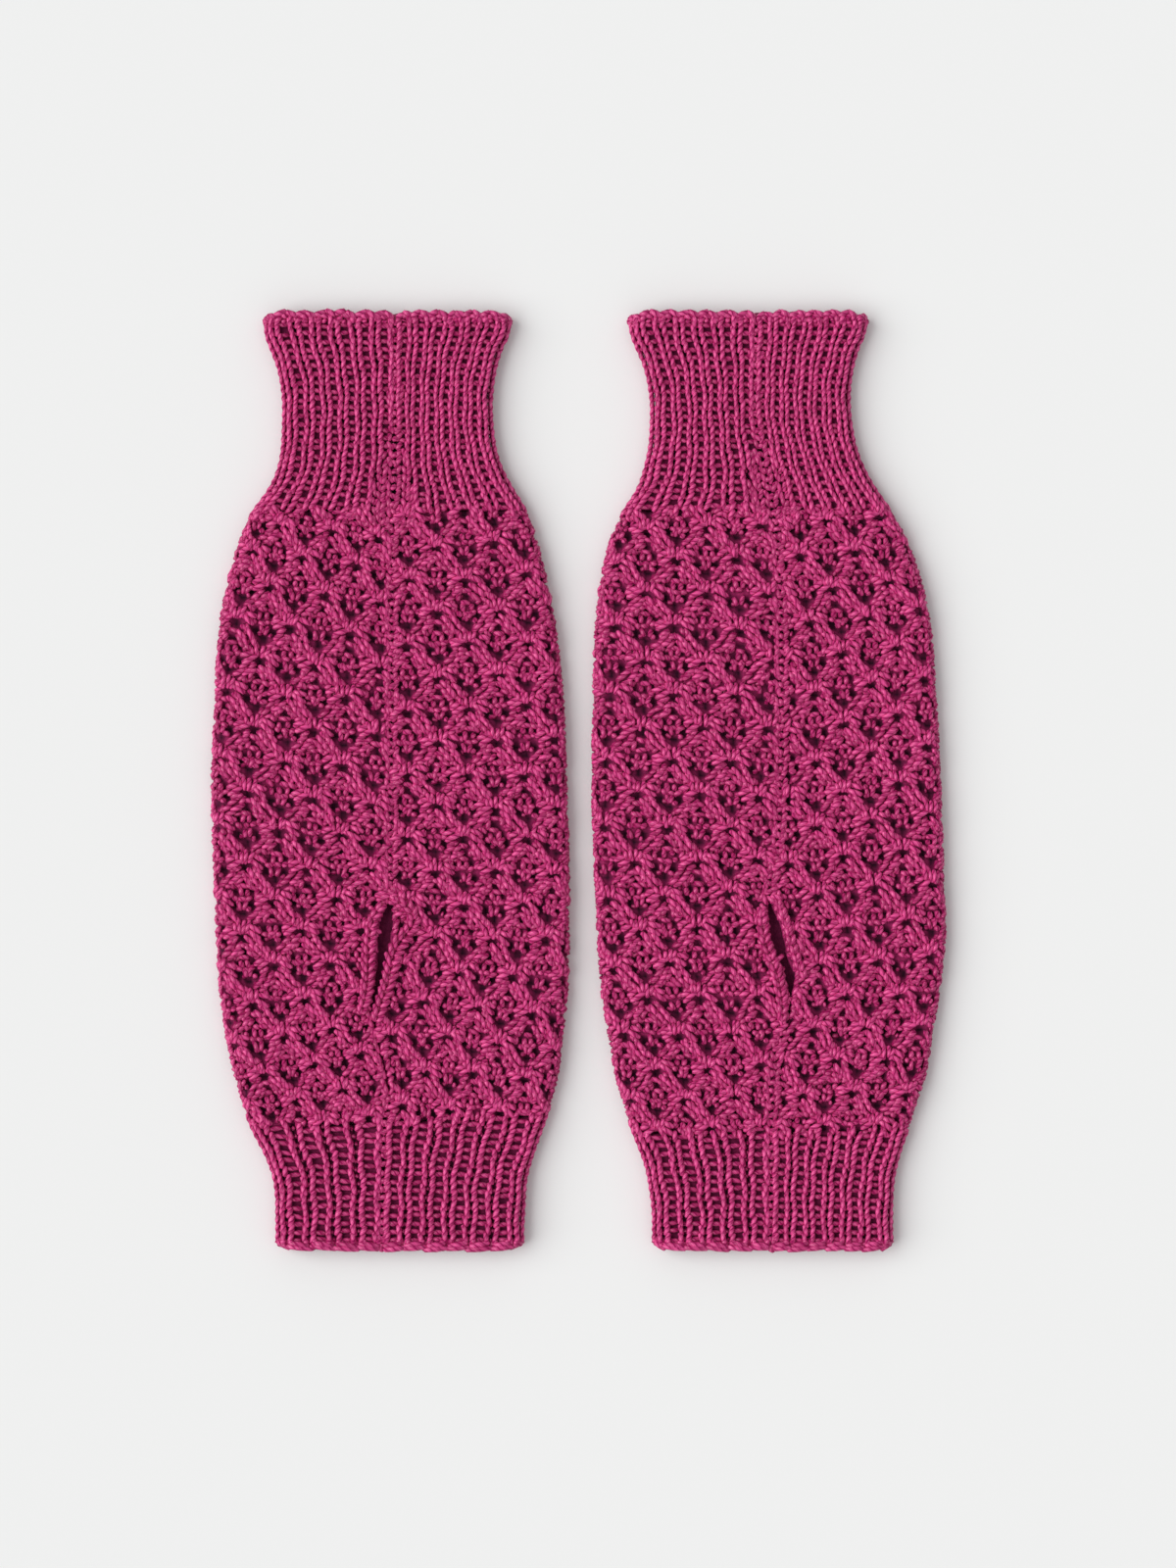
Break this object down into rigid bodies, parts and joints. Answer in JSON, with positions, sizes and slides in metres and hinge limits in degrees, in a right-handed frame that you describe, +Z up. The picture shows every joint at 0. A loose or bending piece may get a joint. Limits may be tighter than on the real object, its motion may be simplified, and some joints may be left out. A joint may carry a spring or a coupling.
{
  "type": "pair of wrist warmers",
  "caption": "Pair of fingerless knitted wrist warmers with ribbed cuffs, a star-lattice hand and a thumb slit in the front seam, lying flat side by side.",
  "frame": {"origin": "centre of the pair's bounding box, on the surface that it lies on", "axes": "+Y towards the wrist ends, +X to the right of someone looking down with the wrist ends away, +Z up"},
  "size_m": [0.1882, 0.24, 0.0068],
  "materials": {
    "yarn": "soft plied raspberry wool, knitted"
  },
  "bodies": {
    "root": {"left_wrist_edge": "yarn", "left_wrist_rib": "yarn", "left_hand": "yarn", "left_knuckle_rib": "yarn", "left_knuckle_edge": "yarn", "left_slit_band": "yarn", "left_slit_lip": "yarn", "right_wrist_edge": "yarn", "right_wrist_rib": "yarn", "right_hand": "yarn", "right_knuckle_rib": "yarn", "right_knuckle_edge": "yarn", "right_slit_band": "yarn", "right_slit_lip": "yarn"}
  },
  "joints": []
}
